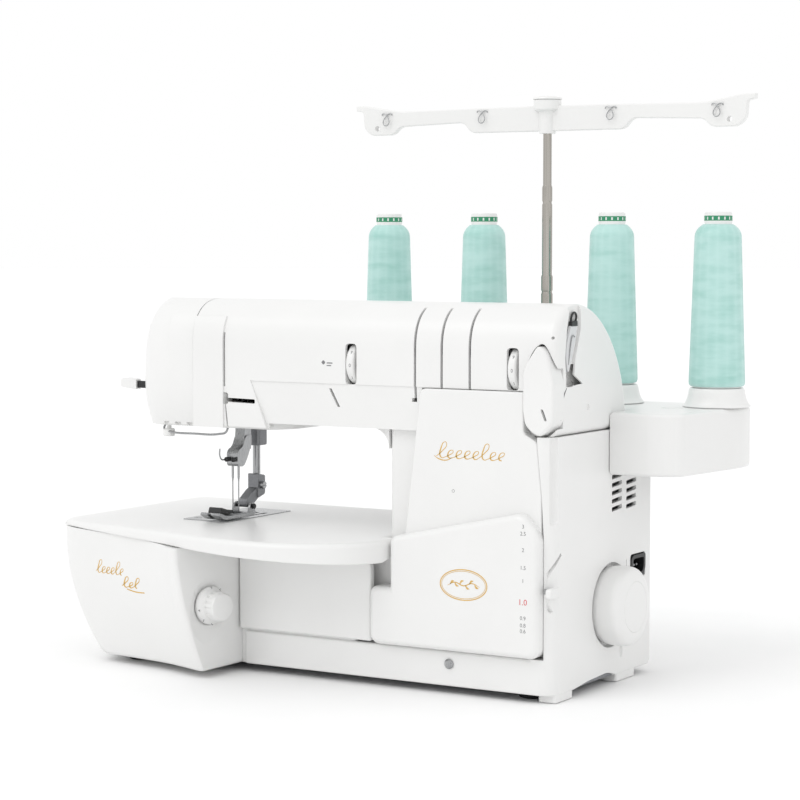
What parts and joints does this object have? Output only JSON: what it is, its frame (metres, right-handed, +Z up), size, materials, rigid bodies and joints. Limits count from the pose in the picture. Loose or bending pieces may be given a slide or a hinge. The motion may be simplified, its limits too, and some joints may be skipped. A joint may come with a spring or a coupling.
{
  "type": "serger overlock sewing machine",
  "caption": "White free-arm style overlock machine with hinged looper cover, handwheel, telescopic thread stand and mint thread cones.",
  "frame": {"origin": "middle of the bounding box's footprint, on the table the rubber feet stand on", "axes": "+X to the operator's right along the bed, +Y away from the operator, +Z up"},
  "size_m": [0.535, 0.3002, 0.4725],
  "materials": {
    "white_abs": "glossy moulded ABS",
    "black_plastic": "fine-grained moulded",
    "rubber": "matt",
    "machined_steel": "ground and nickel plated",
    "chrome_tube": "polished tube",
    "die_casting": "as cast",
    "mint_thread": "cross-wound polyester thread",
    "circuit_board": "solder mask"
  },
  "bodies": {
    "machine": {"base_pan": "die_casting", "foot_front_left": "rubber", "foot_front_right": "rubber", "foot_rear_left": "rubber", "foot_rear_right": "rubber", "lower_casing": "white_abs", "rear_cover": "white_abs", "bed_plate": "white_abs", "bed_front_housing": "white_abs", "looper_cover_panel": "white_abs", "arm_casing": "white_abs", "face_cover": "white_abs", "threading_port_cover": "white_abs", "power_inlet": "black_plastic", "base_screw": "machined_steel", "presser_bar_guide": "machined_steel", "needle_plate": "machined_steel", "head_thread_guide": "machined_steel", "spool_tray": "white_abs", "cone_holder_1": "white_abs", "cone_holder_2": "white_abs", "cone_holder_3": "white_abs", "cone_holder_4": "white_abs", "rod_lower_tube": "chrome_tube", "motor": "die_casting", "drive_belt": "rubber", "inner_frame": "die_casting", "circuit_board": "circuit_board"},
    "front_cover": {"front_cover": "white_abs"},
    "handwheel": {"handwheel": "white_abs", "main_shaft": "machined_steel", "belt_pulley": "die_casting"},
    "motor_pulley": {"motor_pulley": "machined_steel"},
    "stitch_length_dial": {"stitch_length_dial": "white_abs"},
    "differential_feed_lever": {"differential_feed_lever": "white_abs"},
    "tension_dial_left": {"tension_dial_left": "white_abs"},
    "tension_dial_right": {"tension_dial_right": "white_abs"},
    "take_up_lever": {"take_up_lever": "machined_steel"},
    "presser_lifter": {"presser_lifter": "black_plastic"},
    "presser_bar": {"presser_bar": "machined_steel", "presser_ankle": "machined_steel"},
    "presser_foot": {"presser_foot": "machined_steel"},
    "needle_bar": {"needle_bar": "machined_steel", "needle_clamp": "machined_steel", "needle_left": "machined_steel", "needle_right": "machined_steel"},
    "feed_dog": {"feed_dog": "machined_steel"},
    "looper": {"looper": "machined_steel"},
    "rod_middle": {"rod_middle_tube": "chrome_tube"},
    "rod_top": {"rod_top": "chrome_tube"},
    "guide_bar": {"guide_bar": "white_abs", "guide_bar_cap": "white_abs", "wire_guide_1": "machined_steel", "wire_guide_2": "machined_steel", "wire_guide_3": "machined_steel", "wire_guide_4": "machined_steel"},
    "thread_cone_1": {"thread_cone_1": "mint_thread"},
    "thread_cone_2": {"thread_cone_2": "mint_thread"},
    "thread_cone_3": {"thread_cone_3": "mint_thread"},
    "thread_cone_4": {"thread_cone_4": "mint_thread"}
  },
  "joints": [
    {"name": "front_cover_hinge", "type": "hinge", "parent": "machine", "child": "front_cover", "pos_m": [0.1075, -0.0849, 0.037], "axis": [1, 0, 0], "range_deg": [0, 90]},
    {"name": "handwheel_turn", "type": "hinge", "parent": "machine", "child": "handwheel", "pos_m": [0.1975, 0.0231, 0.064], "axis": [1, 0, 0], "continuous": true},
    {"name": "motor_pulley_turn", "type": "hinge", "parent": "machine", "child": "motor_pulley", "pos_m": [0.1175, 0.0341, 0.158], "axis": [1, 0, 0], "continuous": true},
    {"name": "stitch_length_turn", "type": "hinge", "parent": "machine", "child": "stitch_length_dial", "pos_m": [-0.1051, -0.1126, 0.058], "axis": [0.9703, -0.2419, 0], "range_deg": [-110, 110]},
    {"name": "differential_feed_swing", "type": "hinge", "parent": "machine", "child": "differential_feed_lever", "pos_m": [0.1825, -0.0439, 0.087], "axis": [1, 0, 0], "range_deg": [-38, 22]},
    {"name": "tension_left_turn", "type": "hinge", "parent": "machine", "child": "tension_dial_left", "pos_m": [0.0055, -0.0609, 0.2545], "axis": [1, 0, 0], "range_deg": [-150, 150]},
    {"name": "tension_right_turn", "type": "hinge", "parent": "machine", "child": "tension_dial_right", "pos_m": [0.1511, -0.0609, 0.2545], "axis": [1, 0, 0], "range_deg": [-150, 150]},
    {"name": "take_up_swing", "type": "hinge", "parent": "machine", "child": "take_up_lever", "pos_m": [0.1815, -0.0339, 0.25], "axis": [1, 0, 0], "range_deg": [-12, 12]},
    {"name": "presser_lifter_swing", "type": "hinge", "parent": "machine", "child": "presser_lifter", "pos_m": [-0.1915, -0.0379, 0.229], "axis": [0, 1, 0], "range_deg": [0, 28]},
    {"name": "presser_bar_slide", "type": "slide", "parent": "machine", "child": "presser_bar", "axis": [0, 0, 1], "range_m": [0, 0.006]},
    {"name": "presser_foot_tilt", "type": "hinge", "parent": "presser_bar", "child": "presser_foot", "pos_m": [-0.1395, -0.0139, 0.124], "axis": [1, 0, 0], "range_deg": [-8, 0]},
    {"name": "needle_bar_slide", "type": "slide", "parent": "machine", "child": "needle_bar", "axis": [0, 0, 1], "range_m": [-0.012, 0.014]},
    {"name": "feed_dog_slide", "type": "slide", "parent": "machine", "child": "feed_dog", "axis": [0, 1, 0], "range_m": [-0.003, 0.003]},
    {"name": "looper_swing", "type": "hinge", "parent": "machine", "child": "looper", "pos_m": [-0.1035, -0.0319, 0.052], "axis": [0, 1, 0], "range_deg": [-10, 6]},
    {"name": "rod_middle_slide", "type": "slide", "parent": "machine", "child": "rod_middle", "axis": [0, 0, 1], "range_m": [-0.03, 0]},
    {"name": "rod_top_slide", "type": "slide", "parent": "rod_middle", "child": "rod_top", "axis": [0, 0, 1], "range_m": [-0.025, 0]},
    {"name": "guide_bar_turn", "type": "hinge", "parent": "rod_top", "child": "guide_bar", "pos_m": [0.0795, 0.1171, 0.45], "axis": [0, 0, 1], "range_deg": [-90, 90]},
    {"name": "thread_cone_1_lift", "type": "slide", "parent": "machine", "child": "thread_cone_1", "axis": [0, 0, 1], "range_m": [0, 0.05]},
    {"name": "thread_cone_2_lift", "type": "slide", "parent": "machine", "child": "thread_cone_2", "axis": [0, 0, 1], "range_m": [0, 0.05]},
    {"name": "thread_cone_3_lift", "type": "slide", "parent": "machine", "child": "thread_cone_3", "axis": [0, 0, 1], "range_m": [0, 0.05]},
    {"name": "thread_cone_4_lift", "type": "slide", "parent": "machine", "child": "thread_cone_4", "axis": [0, 0, 1], "range_m": [0, 0.05]}
  ],
  "couplings": [
    {"joint": "motor_pulley_turn", "follows": "handwheel_turn", "ratio": 4}
  ]
}
